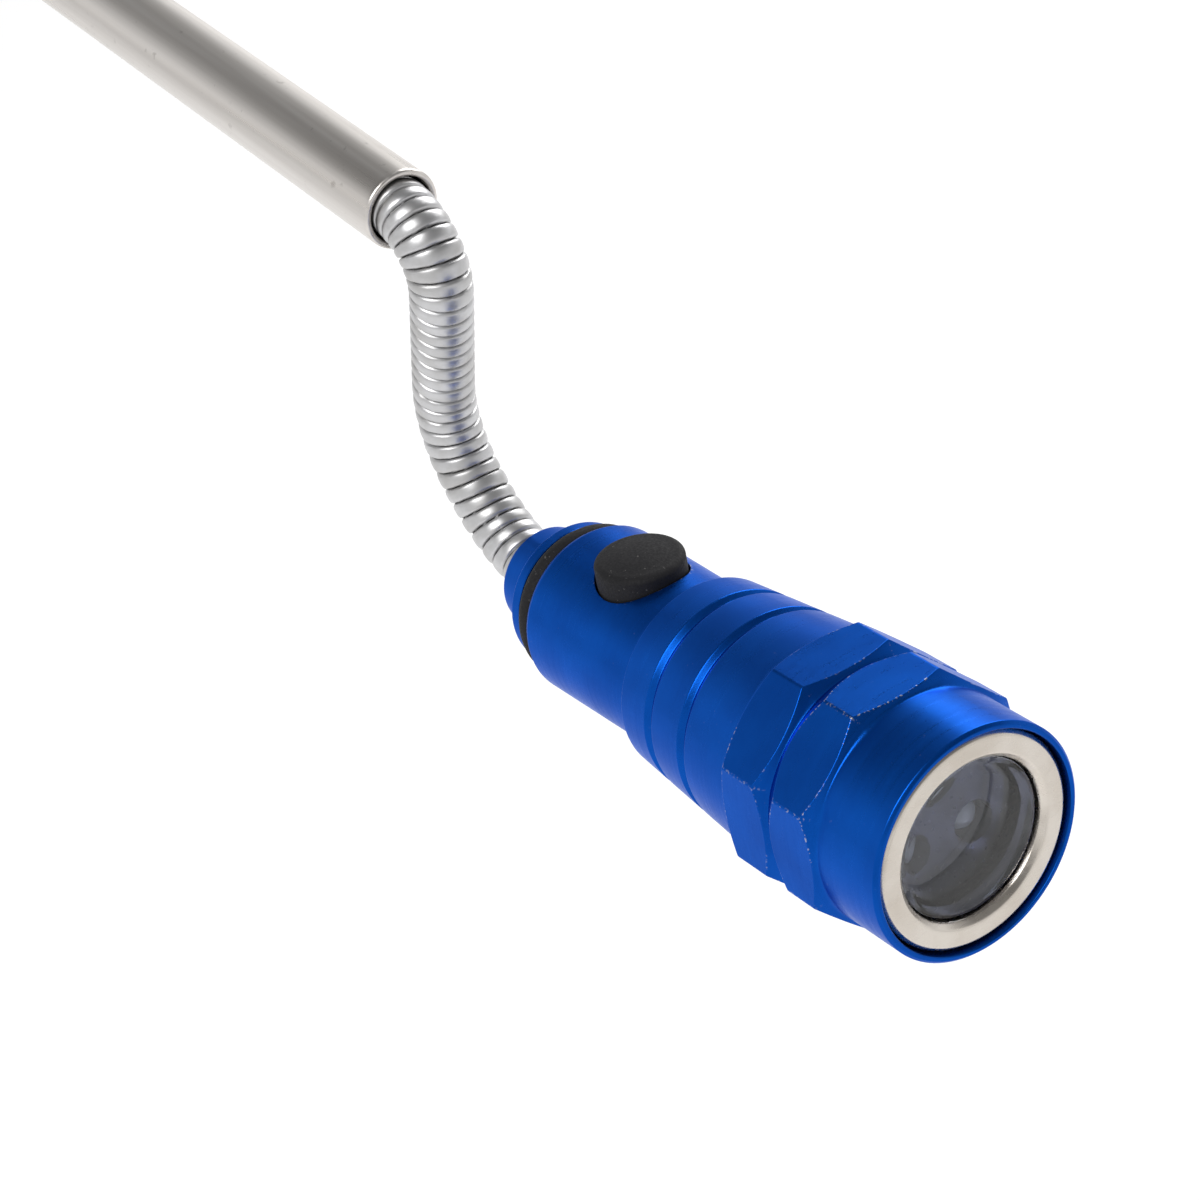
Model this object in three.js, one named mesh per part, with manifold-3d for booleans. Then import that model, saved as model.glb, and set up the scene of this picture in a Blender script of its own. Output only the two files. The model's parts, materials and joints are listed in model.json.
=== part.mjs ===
// Lighted magnetic pickup tool: a telescopic shaft, a flexible gooseneck and a lamp head with a ring magnet.
//
// Millimetres. +X runs along the shaft from the tail magnet towards the lamp head, +Z is up, and the
// switch button of the head faces up. The origin is the centre of the tail magnet's outer face.
// The shaft is partly drawn out and the gooseneck hangs in an S.

import * as THREE from 'three';
import { mergeVertices } from 'three/addons/utils/BufferGeometryUtils.js';
import Module from 'manifold-3d';

const wasm = await Module();
wasm.setup();

const DEG = Math.PI / 180;

// ---------------------------------------------------------------- driving dimensions

// Sides of the turned pieces. The barrel's count is a multiple of its eight flats.
const FINE_SIDES = 48;
const TUBE_SIDES = 36;
const COARSE_SIDES = 24;
const NECK_SIDES = 16;
const SMALL_SIDES = 12;

// Telescopic tubes, from the thinnest (1, next to the gooseneck) to the handle (4).
const TUBE = {
  count: 4,
  innerTubeRadius: 3.87,
  radiusStep: 0.5,
  wall: 0.3,
  length: 99,
  handleLength: 104,
  lipLength: 0.9,
  lipClearance: 0.06,
  bushClearance: 0.04,
  bushLength: 6,
};
const DRAWN_OUT = { tube_3: 20, tube_2: 15, tube_1: 88 };
const SMALLEST_LIP_RADIUS = 3.3;

const TAIL = {
  flangeLength: 1.2,
  plugLength: 5,
  plugRadius: 5,
  pocketRadius: 3.7,
  pocketDepth: 2.3,
  magnetRadius: 3.5,
  magnetLength: 2,
};

// Gooseneck: short hollow links on alternate hinges. The rear bends turn it down, the front bends bring
// it back, and the side hinges between them let it lean left and right.
const NECK = {
  radius: 2.96,
  bore: 1.7,
  hiddenLength: 42,
  mouthGap: 0.05,
  halfGap: 0.15,
  endSlope: 0.19,
  edgeBevel: 0.2,
  edgeBevelLength: 0.12,
  bushRadius: 3.42,
  bushLength: 6,
  rearBends: 5,
  rearBend: 20.7 * DEG,
  rearPitch: 2.02,
  middleLength: 14.72,
  middleSideHinges: 3,
  frontBends: 8,
  frontBend: -14.06 * DEG,
  frontPitch: 2.95,
  sideHingeStep: 2,
  sideHingeAfterFrontBend: 4,
  capInset: 0.17,
};

// The head's own roll: how far the button leans towards +Y from straight up.
const HEAD_ROLL = 2.8 * DEG;

// Head, measured along its own axis from the rear face of the cap.
const CAP = {
  bossRearRadius: 4.85,
  bossFrontRadius: 5.4,
  bossLength: 4.5,
  bossChamfer: 0.4,
  flangeRadius: 7.0,
  flangeFront: 6.1,
  grooveRadius: 5.3,
  grooveFront: 8.6,
  neckRadius: 6.5,
  neckFront: 12.9,
  neckChamfer: 0.4,
  springPocketRadius: 5.3,
  springPocketRear: 9.4,
  boreRadius: 3.65,
  boreDepth: 5.1,
  mouthRadius: 4.3,
  mouthDepth: 1.1,
};
const FERRULE_GAP = 0.15;
const O_RING = { centre: 7.35, meanRadius: 6.5, section: 1.1 };

const BARREL = {
  rear: 8.87,
  rearRadius: 7.95,
  rearChamfer: 0.45,
  gripRearRadius: 8.2,
  gripFrontRadius: 8.0,
  front: 61.5,
  boreRadius: 6.85,
  boreFront: 45.6,
  chamberRadius: 9.85,
};
const TAPER = { rear: 25.5, front: 42.25, rearRadius: 9.15, frontRadius: 10.62, shoulder: 0.8 };
const GROOVE = { rears: [29.4, 34.75], floor: 0.5, width: 1.2, depth: 0.45 };
const BANDS = {
  acrossFlats: 21.8,
  rear: 43.18,
  middleRear: 47.04,
  middleFloor: 48.08,
  floorRadius: 10.47,
  middleFront: 49.88,
  front: 53.32,
  noseRear: 54.3,
};
const NOSE = { radius: 10.5, chamfer: 0.25 };

const BUTTON = {
  centre: 17.8,
  radius: 4.1,
  holeRadius: 4.3,
  sideTop: 8.9,
  bevelTop: 9.35,
  bevelRadius: 3.55,
  crown: 9.75,
  flangeRadius: 4.6,
  flangeBottom: 3.5,
  flangeTop: 4.3,
  cavityRadius: 3.65,
  cavityTop: 5.8,
  stemRadius: 1.4,
};
const SWITCH = { size: 5, bottom: 0.45, top: 2.3, wellRadius: 1.3, wellFloor: 1.2 };
const PLUNGER = { radius: 1.1, bottom: 2.0, top: 3.2 };
const SWITCH_BOARD = { rear: 14.2, front: 20.4, width: 10.4, bottom: -0.4, top: 0.4 };

const SLEEVE = {
  rear: 13.95,
  front: 44.6,
  radius: 6.55,
  bore: 6.05,
  webRear: 22.2,
  webFront: 22.7,
  windowFront: 22.95,
  windowWidth: 10.4,
  windowBottom: 2.6,
};
const REAR_CONTACT = { rear: 13.3, front: 13.95, radius: 2.4 };
const CELL = { count: 4, rear: 22.85, radius: 5.8, length: 5.4, gap: 0.02, shoulder: 0.5, capRadius: 4.9 };
const SPRING = { wire: 0.3, turns: 3, rearRadius: 4.3, frontRadius: 2.0, sides: 2, stepsPerTurn: 12 };
const REAR_SPRING_SPAN = [9.8, 12.9];
const FRONT_SPRING_SPAN = [44.85, 45.5];
const FRONT_SPRING_TURNS = 1.5;

const LED_BOARD = { rear: 45.9, front: 46.9, radius: 9.5 };
const LED_HOLDER = { rear: 47.2, front: 54.2, radius: 9.5, boreRadius: 1.8 };
const LED = {
  count: 3,
  ring: 3.4,
  rear: 47.6,
  flangeLength: 0.9,
  flangeRadius: 1.7,
  radius: 1.5,
  noseCentre: 52.2,
};
const LENS = { rear: 54.5, step: 56.0, front: 59.6, flangeRadius: 9.5, radius: 6.9 };
const RING_MAGNET = { rear: 56.3, front: 61.2, radius: 9.65, bore: 7.2, chamfer: 0.35 };

// ---------------------------------------------------------------- shape helpers

// A solid turned about the X axis from [x, radius] points. The outer side runs towards +X, and the
// outline either starts and ends on the axis or closes on itself.
function turned(outline, sides) {
  const points = outline.map(([x, radius]) => new THREE.Vector2(radius, x));
  const geometry = new THREE.LatheGeometry(points, sides);
  geometry.rotateZ(-Math.PI / 2);
  return geometry;
}

function disc(rear, front, radius, sides) {
  return turned([[rear, 0], [rear, radius], [front, radius], [front, 0]], sides);
}

function ring(rear, front, bore, radius, sides) {
  return turned([[rear, bore], [rear, radius], [front, radius], [front, bore], [rear, bore]], sides);
}

// Turns a solid made along +X so that it stands along +Z.
function upright(geometry) {
  geometry.rotateY(-Math.PI / 2);
  return geometry;
}

function box(xRange, width, zRange) {
  const [rear, front] = xRange;
  const [bottom, top] = zRange;
  const geometry = new THREE.BoxGeometry(front - rear, width, top - bottom);
  geometry.translate((rear + front) / 2, 0, (bottom + top) / 2);
  return geometry;
}

function toSolid(geometry) {
  const bare = geometry.clone();
  bare.deleteAttribute('normal');
  bare.deleteAttribute('uv');
  const merged = mergeVertices(bare);
  const index = merged.index.array;
  const triangles = [];
  for (let i = 0; i < index.length; i += 3) {
    const [a, b, c] = [index[i], index[i + 1], index[i + 2]];
    if (a !== b && b !== c && c !== a) triangles.push(a, b, c);
  }
  const mesh = new wasm.Mesh({
    numProp: 3,
    vertProperties: merged.attributes.position.array,
    triVerts: new Uint32Array(triangles),
  });
  return new wasm.Manifold(mesh);
}

function toGeometry(solid) {
  const mesh = solid.getMesh();
  const geometry = new THREE.BufferGeometry();
  geometry.setAttribute('position', new THREE.BufferAttribute(mesh.vertProperties, 3));
  geometry.setIndex(new THREE.BufferAttribute(mesh.triVerts, 1));
  geometry.computeVertexNormals();
  return geometry;
}

function cutFrom(geometry, ...tools) {
  let solid = toSolid(geometry);
  for (const tool of tools) solid = solid.subtract(toSolid(tool));
  return toGeometry(solid);
}

function keepInside(geometry, limit) {
  return toGeometry(toSolid(geometry).intersect(toSolid(limit)));
}

function finish(color, roughness, metalness) {
  return new THREE.MeshStandardMaterial({ color, roughness, metalness });
}

function add(parent, name, geometry, material) {
  const mesh = new THREE.Mesh(geometry, material);
  mesh.name = name;
  parent.add(mesh);
  return mesh;
}

const finishes = {
  blueAnodised: () => finish(0x0b4aa8, 0.38, 0.85),
  steelTube: () => finish(0xb9b7b3, 0.32, 1.0),
  chrome: () => finish(0xd9dadc, 0.1, 1.0),
  nickel: () => finish(0xb9b2a6, 0.3, 1.0),
  brass: () => finish(0xb08d4a, 0.4, 1.0),
  springSteel: () => finish(0x9a9a9c, 0.35, 1.0),
  rubber: () => finish(0x1b1b1d, 0.85, 0.0),
  blackPlastic: () => finish(0x222326, 0.6, 0.0),
  whitePlastic: () => finish(0xe6e6e2, 0.5, 0.0),
  board: () => finish(0x1f6b3a, 0.55, 0.0),
  clear: () => finish(0xe9eef2, 0.05, 0.0),
};

// ---------------------------------------------------------------- shaft

const tubeRadius = (k) => TUBE.innerTubeRadius + (k - 1) * TUBE.radiusStep;
const tubeBore = (k) => tubeRadius(k) - TUBE.wall;

// A drawn tube whose mouth is rolled in to keep the next piece from pulling out.
function tube(length, bore, radius, lipRadius) {
  const roll = (radius - lipRadius) / 2;
  const outline = [
    [0, bore],
    [0, radius],
    [length - roll, radius],
    [length, radius - roll],
    [length - roll, lipRadius],
    [length - TUBE.lipLength, lipRadius],
    [length - TUBE.lipLength - (bore - lipRadius), bore],
    [0, bore],
  ];
  return turned(outline, TUBE_SIDES);
}

function tailPlug(parent) {
  const end = TAIL.flangeLength + TAIL.plugLength;
  const plug = turned([
    [0, TAIL.pocketRadius],
    [0, tubeRadius(TUBE.count)],
    [TAIL.flangeLength, tubeRadius(TUBE.count)],
    [TAIL.flangeLength, TAIL.plugRadius],
    [end, TAIL.plugRadius],
    [end, 0],
    [TAIL.pocketDepth, 0],
    [TAIL.pocketDepth, TAIL.pocketRadius],
    [0, TAIL.pocketRadius],
  ], TUBE_SIDES);
  add(parent, 'tail_plug', plug, finishes.blueAnodised());
  add(parent, 'tail_magnet', disc(0, TAIL.magnetLength, TAIL.magnetRadius, COARSE_SIDES), finishes.nickel());
}

// One tube stage with the friction bush at its rear end. The group's origin is its mouth.
function tubeStage(k) {
  const stage = new THREE.Group();
  const lip = k === 1 ? SMALLEST_LIP_RADIUS : tubeRadius(k - 1) + TUBE.lipClearance;
  const geometry = tube(TUBE.length, tubeBore(k), tubeRadius(k), lip);
  geometry.translate(-TUBE.length, 0, 0);
  add(stage, `tube_${k}`, geometry, finishes.steelTube());
  const bush = ring(
    -TUBE.length,
    -TUBE.length + TUBE.bushLength,
    tubeRadius(k) + TUBE.bushClearance,
    tubeBore(k + 1) - TUBE.bushClearance,
    TUBE_SIDES,
  );
  add(stage, `tube_bush_${k}`, bush, finishes.brass());
  return stage;
}

function handle() {
  const group = new THREE.Group();
  tailPlug(group);
  const lip = tubeRadius(TUBE.count - 1) + TUBE.lipClearance;
  const geometry = tube(TUBE.handleLength, tubeBore(TUBE.count), tubeRadius(TUBE.count), lip);
  geometry.translate(TAIL.flangeLength, 0, 0);
  add(group, 'tube_4', geometry, finishes.steelTube());
  return group;
}

// ---------------------------------------------------------------- gooseneck

// One hollow link. Both ends are coned, so that neighbours can tilt about the hinge between them.
function neckLink(rearHinge, frontHinge) {
  const coneAt = (radius) => NECK.halfGap + NECK.endSlope * radius;
  const crown = NECK.radius;
  const shoulder = NECK.radius - NECK.edgeBevel;
  return turned([
    [rearHinge + coneAt(NECK.bore), NECK.bore],
    [rearHinge + coneAt(shoulder), shoulder],
    [rearHinge + coneAt(crown) + NECK.edgeBevelLength, crown],
    [frontHinge - coneAt(crown) - NECK.edgeBevelLength, crown],
    [frontHinge - coneAt(shoulder), shoulder],
    [frontHinge - coneAt(NECK.bore), NECK.bore],
    [rearHinge + coneAt(NECK.bore), NECK.bore],
  ], NECK_SIDES);
}

function neckRoot() {
  const group = new THREE.Group();
  const rear = -NECK.hiddenLength;
  const tipCone = NECK.mouthGap - NECK.halfGap - NECK.endSlope * NECK.bore;
  const tipEdge = NECK.mouthGap - NECK.halfGap - NECK.endSlope * NECK.radius;
  const outline = [
    [rear, NECK.bore],
    [rear, NECK.radius],
    [tipEdge, NECK.radius],
    [tipCone, NECK.bore],
    [rear, NECK.bore],
  ];
  add(group, 'gooseneck_root', turned(outline, COARSE_SIDES), finishes.chrome());
  const bush = ring(
    rear,
    rear + NECK.bushLength,
    NECK.radius + TUBE.bushClearance,
    NECK.bushRadius,
    COARSE_SIDES,
  );
  add(group, 'gooseneck_bush', bush, finishes.brass());
  return group;
}

// The hinges from the mouth of the thinnest tube to the cap: what each one does, how far it stands in
// front of the one before, and how far it is bent.
function neckHinges() {
  const hinges = [];
  for (let i = 0; i < NECK.rearBends; i += 1) {
    hinges.push({ kind: 'rear', step: i === 0 ? NECK.mouthGap : NECK.rearPitch, bend: NECK.rearBend });
  }
  const sidePitch = NECK.middleLength / (NECK.middleSideHinges + 1);
  for (let i = 0; i < NECK.middleSideHinges; i += 1) {
    hinges.push({ kind: 'side', step: sidePitch, bend: 0 });
  }
  for (let i = 0; i < NECK.frontBends; i += 1) {
    let step = i === 0 ? sidePitch : NECK.frontPitch;
    if (i === NECK.sideHingeAfterFrontBend) {
      step = NECK.sideHingeStep;
      hinges.push({ kind: 'side', step, bend: 0 });
    }
    hinges.push({ kind: 'front', step, bend: NECK.frontBend });
  }
  return hinges;
}

// Hangs the chain of links on the parent and returns the group that the cap is fixed to.
function gooseneck(parent) {
  const hinges = neckHinges();
  let holder = parent;
  hinges.forEach((hinge, i) => {
    const joint = new THREE.Group();
    joint.name = `hinge_${hinge.kind}_${i + 1}`;
    joint.position.x = hinge.step;
    joint.rotation.y = hinge.bend;
    holder.add(joint);
    const next = hinges[i + 1];
    if (next) add(joint, `gooseneck_link_${i + 1}`, neckLink(0, next.step), finishes.chrome());
    holder = joint;
  });
  return holder;
}

// ---------------------------------------------------------------- head

function rearCap(head) {
  const cap = turned([
    [0, CAP.mouthRadius],
    [0, CAP.bossRearRadius - CAP.bossChamfer],
    [CAP.bossChamfer, CAP.bossRearRadius],
    [CAP.bossLength, CAP.bossFrontRadius],
    [CAP.bossLength, CAP.flangeRadius - CAP.bossChamfer],
    [CAP.bossLength + CAP.bossChamfer, CAP.flangeRadius],
    [CAP.flangeFront, CAP.flangeRadius],
    [CAP.flangeFront, CAP.grooveRadius],
    [CAP.grooveFront, CAP.grooveRadius],
    [CAP.grooveFront, CAP.neckRadius],
    [CAP.neckFront - CAP.neckChamfer, CAP.neckRadius],
    [CAP.neckFront, CAP.neckRadius - CAP.neckChamfer],
    [CAP.neckFront, CAP.springPocketRadius],
    [CAP.springPocketRear, CAP.springPocketRadius],
    [CAP.springPocketRear, 0],
    [CAP.boreDepth, 0],
    [CAP.boreDepth, CAP.boreRadius],
    [CAP.mouthDepth, CAP.boreRadius],
    [0, CAP.mouthRadius],
  ], FINE_SIDES);
  add(head, 'rear_cap', cap, finishes.blueAnodised());
}

function oRing(head) {
  const points = [];
  const steps = 10;
  for (let i = 0; i <= steps; i += 1) {
    const turn = (i / steps) * 2 * Math.PI;
    const x = O_RING.centre - O_RING.section * Math.cos(turn);
    points.push([x, O_RING.meanRadius + O_RING.section * Math.sin(turn)]);
  }
  add(head, 'o_ring', turned(points, COARSE_SIDES), finishes.rubber());
}

// The gooseneck's last link and the ferrule that grips it inside the cap.
function neckEnd(head) {
  const gap = FERRULE_GAP;
  const rear = NECK.halfGap - NECK.capInset;
  const tip = turned([
    [rear + NECK.endSlope * NECK.bore, NECK.bore],
    [rear + NECK.endSlope * NECK.radius, NECK.radius],
    [CAP.boreDepth - gap, NECK.radius],
    [CAP.boreDepth - gap, NECK.bore],
    [rear + NECK.endSlope * NECK.bore, NECK.bore],
  ], COARSE_SIDES);
  add(head, 'gooseneck_end', tip, finishes.chrome());
  const ferrule = ring(
    CAP.mouthDepth + gap,
    CAP.boreDepth - gap,
    NECK.radius + TUBE.bushClearance,
    CAP.boreRadius - gap,
    COARSE_SIDES,
  );
  add(head, 'gooseneck_ferrule', ferrule, finishes.brass());
}

class Coil extends THREE.Curve {
  constructor(span, rearRadius, frontRadius, turns) {
    super();
    this.span = span;
    this.rearRadius = rearRadius;
    this.frontRadius = frontRadius;
    this.turns = turns;
  }

  getPoint(t, target = new THREE.Vector3()) {
    const [rear, front] = this.span;
    const radius = THREE.MathUtils.lerp(this.rearRadius, this.frontRadius, t);
    const turn = 2 * Math.PI * this.turns * t;
    return target.set(THREE.MathUtils.lerp(rear, front, t), radius * Math.cos(turn), radius * Math.sin(turn));
  }
}

function contactSpring(span, turns) {
  const wire = new THREE.Shape();
  wire.absarc(0, 0, SPRING.wire, 0, 2 * Math.PI, false);
  return new THREE.ExtrudeGeometry(wire, {
    steps: Math.round(SPRING.stepsPerTurn * turns),
    curveSegments: SPRING.sides,
    bevelEnabled: false,
    extrudePath: new Coil(span, SPRING.rearRadius, SPRING.frontRadius, turns),
  });
}

// Straight cone surface between the two ends of the tapered part.
function taperRadius(x) {
  const share = (x - TAPER.rear) / (TAPER.front - TAPER.rear);
  return THREE.MathUtils.lerp(TAPER.rearRadius, TAPER.frontRadius, share);
}

function grooveOutline(rear) {
  const floor = rear + GROOVE.floor;
  const front = rear + GROOVE.width;
  return [[rear, taperRadius(rear)], [floor, taperRadius(floor) - GROOVE.depth], [front, taperRadius(front)]];
}

function barrel(head) {
  const cornerRadius = BANDS.acrossFlats / 2 / Math.cos(Math.PI / 8);
  const turnedBody = turned([
    [BARREL.rear, BARREL.boreRadius],
    [BARREL.rear, BARREL.rearRadius],
    [BARREL.rear + BARREL.rearChamfer, BARREL.gripRearRadius],
    [TAPER.rear - TAPER.shoulder, BARREL.gripFrontRadius],
    [TAPER.rear, TAPER.rearRadius],
    ...GROOVE.rears.flatMap(grooveOutline),
    [TAPER.front, TAPER.frontRadius],
    [BANDS.rear, cornerRadius],
    [BANDS.middleRear, cornerRadius],
    [BANDS.middleFloor, BANDS.floorRadius],
    [BANDS.middleFront, cornerRadius],
    [BANDS.front, cornerRadius],
    [BANDS.noseRear, NOSE.radius],
    [BARREL.front - NOSE.chamfer, NOSE.radius],
    [BARREL.front, NOSE.radius - NOSE.chamfer],
    [BARREL.front, BARREL.chamberRadius],
    [BARREL.boreFront, BARREL.chamberRadius],
    [BARREL.boreFront, BARREL.boreRadius],
    [BARREL.rear, BARREL.boreRadius],
  ], FINE_SIDES);
  const flats = disc(0, BARREL.front + 1, cornerRadius, 8);
  flats.rotateX(Math.PI / 8);
  const hole = upright(disc(0, BANDS.acrossFlats, BUTTON.holeRadius, COARSE_SIDES));
  hole.translate(BUTTON.centre, 0, 0);
  const withFlats = keepInside(turnedBody, flats);
  add(head, 'barrel', cutFrom(withFlats, hole), finishes.blueAnodised());
}

// Rubber boot: a crowned plug with a retaining flange and a stem over the switch.
function button(head) {
  const boot = upright(turned([
    [BUTTON.flangeBottom, 0],
    [BUTTON.flangeBottom, BUTTON.stemRadius],
    [BUTTON.cavityTop, BUTTON.stemRadius],
    [BUTTON.cavityTop, BUTTON.cavityRadius],
    [BUTTON.flangeBottom, BUTTON.cavityRadius],
    [BUTTON.flangeBottom, BUTTON.flangeRadius],
    [BUTTON.flangeTop, BUTTON.flangeRadius],
    [BUTTON.flangeTop, BUTTON.radius],
    [BUTTON.sideTop, BUTTON.radius],
    [BUTTON.bevelTop, BUTTON.bevelRadius],
    [BUTTON.crown, 0],
  ], COARSE_SIDES));
  boot.translate(BUTTON.centre, 0, 0);
  add(head, 'button', boot, finishes.rubber());
}

function switchParts(head) {
  const half = SWITCH.size / 2;
  const body = box([BUTTON.centre - half, BUTTON.centre + half], SWITCH.size, [SWITCH.bottom, SWITCH.top]);
  const well = upright(disc(SWITCH.wellFloor, SWITCH.top + 1, SWITCH.wellRadius, SMALL_SIDES));
  well.translate(BUTTON.centre, 0, 0);
  add(head, 'switch_body', cutFrom(body, well), finishes.blackPlastic());

  const plunger = upright(disc(PLUNGER.bottom, PLUNGER.top, PLUNGER.radius, SMALL_SIDES));
  plunger.translate(BUTTON.centre, 0, 0);
  add(head, 'switch_plunger', plunger, finishes.whitePlastic());

  const board = box(
    [SWITCH_BOARD.rear, SWITCH_BOARD.front],
    SWITCH_BOARD.width,
    [SWITCH_BOARD.bottom, SWITCH_BOARD.top],
  );
  add(head, 'switch_board', board, finishes.board());
}

// Plastic cartridge tube: open at the rear for the switch board, with a window under the button, a web,
// and a pocket for the cells that is open at the front.
function batterySleeve(head) {
  const body = turned([
    [SLEEVE.rear, SLEEVE.bore],
    [SLEEVE.rear, SLEEVE.radius],
    [SLEEVE.front, SLEEVE.radius],
    [SLEEVE.front, SLEEVE.bore],
    [SLEEVE.webFront, SLEEVE.bore],
    [SLEEVE.webFront, 0],
    [SLEEVE.webRear, 0],
    [SLEEVE.webRear, SLEEVE.bore],
    [SLEEVE.rear, SLEEVE.bore],
  ], FINE_SIDES);
  const window = box(
    [SLEEVE.rear - 1, SLEEVE.windowFront],
    SLEEVE.windowWidth,
    [SLEEVE.windowBottom, SLEEVE.radius + 1],
  );
  add(head, 'battery_sleeve', cutFrom(body, window), finishes.blackPlastic());
}

function batteries(head) {
  for (let i = 0; i < CELL.count; i += 1) {
    const rear = CELL.rear + i * CELL.length;
    const front = rear + CELL.length - CELL.gap;
    const cell = turned([
      [rear, 0],
      [rear, CELL.capRadius],
      [rear + CELL.shoulder, CELL.radius],
      [front, CELL.radius],
      [front, 0],
    ], COARSE_SIDES);
    add(head, `battery_${i + 1}`, cell, finishes.nickel());
  }
}

function ledAt(i) {
  const turn = (i / LED.count) * 2 * Math.PI + Math.PI / 2;
  return [LED.ring * Math.cos(turn), LED.ring * Math.sin(turn)];
}

function leds(head) {
  const noseSteps = 3;
  for (let i = 0; i < LED.count; i += 1) {
    const outline = [
      [LED.rear, 0],
      [LED.rear, LED.flangeRadius],
      [LED.rear + LED.flangeLength, LED.flangeRadius],
      [LED.rear + LED.flangeLength, LED.radius],
    ];
    for (let k = 0; k <= noseSteps; k += 1) {
      const turn = (k / noseSteps) * (Math.PI / 2);
      const radius = k === noseSteps ? 0 : LED.radius * Math.cos(turn);
      outline.push([LED.noseCentre + LED.radius * Math.sin(turn), radius]);
    }
    const [y, z] = ledAt(i);
    const lamp = turned(outline, SMALL_SIDES);
    lamp.translate(0, y, z);
    add(head, `led_${i + 1}`, lamp, finishes.clear());
  }
}

function ledHolder(head) {
  const body = disc(LED_HOLDER.rear, LED_HOLDER.front, LED_HOLDER.radius, COARSE_SIDES);
  const bores = [];
  for (let i = 0; i < LED.count; i += 1) {
    const [y, z] = ledAt(i);
    const bore = disc(LED_HOLDER.rear - 1, LED_HOLDER.front + 1, LED_HOLDER.boreRadius, NECK_SIDES);
    bore.translate(0, y, z);
    bores.push(bore);
  }
  add(head, 'led_holder', cutFrom(body, ...bores), finishes.whitePlastic());
  const board = disc(LED_BOARD.rear, LED_BOARD.front, LED_BOARD.radius, COARSE_SIDES);
  add(head, 'led_board', board, finishes.board());
}

function lensAndMagnet(head) {
  const lens = turned([
    [LENS.rear, 0],
    [LENS.rear, LENS.flangeRadius],
    [LENS.step, LENS.flangeRadius],
    [LENS.step, LENS.radius],
    [LENS.front, LENS.radius],
    [LENS.front, 0],
  ], FINE_SIDES);
  add(head, 'lens', lens, finishes.clear());

  const magnet = turned([
    [RING_MAGNET.rear, RING_MAGNET.bore],
    [RING_MAGNET.rear, RING_MAGNET.radius],
    [RING_MAGNET.front - RING_MAGNET.chamfer, RING_MAGNET.radius],
    [RING_MAGNET.front, RING_MAGNET.radius - RING_MAGNET.chamfer],
    [RING_MAGNET.front, RING_MAGNET.bore + RING_MAGNET.chamfer],
    [RING_MAGNET.front - RING_MAGNET.chamfer, RING_MAGNET.bore],
    [RING_MAGNET.rear, RING_MAGNET.bore],
  ], FINE_SIDES);
  add(head, 'ring_magnet', magnet, finishes.nickel());
}

function contacts(head) {
  const plate = disc(REAR_CONTACT.rear, REAR_CONTACT.front, REAR_CONTACT.radius, COARSE_SIDES);
  add(head, 'rear_contact', plate, finishes.brass());
  const rearSpring = contactSpring(REAR_SPRING_SPAN, SPRING.turns);
  add(head, 'rear_contact_spring', rearSpring, finishes.springSteel());
  const frontSpring = contactSpring(FRONT_SPRING_SPAN, FRONT_SPRING_TURNS);
  add(head, 'front_contact_spring', frontSpring, finishes.springSteel());
}

function lampHead() {
  const head = new THREE.Group();
  rearCap(head);
  oRing(head);
  neckEnd(head);
  barrel(head);
  button(head);
  switchParts(head);
  batterySleeve(head);
  batteries(head);
  contacts(head);
  ledHolder(head);
  leds(head);
  lensAndMagnet(head);
  return head;
}

// ---------------------------------------------------------------- assembly

const tool = new THREE.Group();
tool.add(handle());

let mouth = TAIL.flangeLength + TUBE.handleLength;
for (const k of [3, 2, 1]) {
  mouth += DRAWN_OUT[`tube_${k}`];
  const stage = tubeStage(k);
  stage.position.x = mouth;
  tool.add(stage);
}

const neck = neckRoot();
neck.position.x = mouth;
tool.add(neck);

const head = lampHead();
head.name = 'head_group';
head.position.x = NECK.capInset;
head.rotation.x = -HEAD_ROLL;
gooseneck(neck).add(head);

export default tool;
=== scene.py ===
"""Looks of the lighted magnetic pickup tool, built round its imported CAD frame.

Outlines are in millimetres and become metres when their mesh is made. A head outline is measured along
the head's own axis from the rear face of the cap, and a shaft outline along the row's X axis.
"""

import json
import math

import bmesh
import bpy
from mathutils import Matrix, Vector


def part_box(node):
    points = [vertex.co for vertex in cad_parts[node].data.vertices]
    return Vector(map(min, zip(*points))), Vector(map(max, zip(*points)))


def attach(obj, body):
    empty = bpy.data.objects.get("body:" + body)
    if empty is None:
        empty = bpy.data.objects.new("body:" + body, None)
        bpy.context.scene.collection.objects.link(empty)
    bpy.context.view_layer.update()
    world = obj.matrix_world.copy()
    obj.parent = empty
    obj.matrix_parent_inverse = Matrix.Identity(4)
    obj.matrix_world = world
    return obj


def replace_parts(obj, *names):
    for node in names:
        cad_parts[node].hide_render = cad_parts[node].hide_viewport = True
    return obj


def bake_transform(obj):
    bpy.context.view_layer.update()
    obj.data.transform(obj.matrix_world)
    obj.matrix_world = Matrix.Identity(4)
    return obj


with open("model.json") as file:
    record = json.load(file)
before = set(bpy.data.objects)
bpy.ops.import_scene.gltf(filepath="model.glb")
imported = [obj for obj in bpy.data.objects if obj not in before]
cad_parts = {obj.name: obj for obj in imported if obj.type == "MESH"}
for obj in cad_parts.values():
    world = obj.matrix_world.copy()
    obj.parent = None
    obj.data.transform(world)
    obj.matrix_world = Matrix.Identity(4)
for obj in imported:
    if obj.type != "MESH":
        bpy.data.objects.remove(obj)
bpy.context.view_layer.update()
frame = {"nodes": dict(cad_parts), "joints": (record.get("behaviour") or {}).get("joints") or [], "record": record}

MM = 0.001
JOINTS = {joint["name"]: joint for joint in frame["joints"]}


# ---------------------------------------------------------------- frames

def axes_frame(origin, forward, up):
    """A matrix whose X axis is forward and whose Z axis is up, at the origin given."""
    side = up.cross(forward)
    turn = Matrix((forward, side, up)).transposed().to_4x4()
    return Matrix.Translation(origin) @ turn


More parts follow.
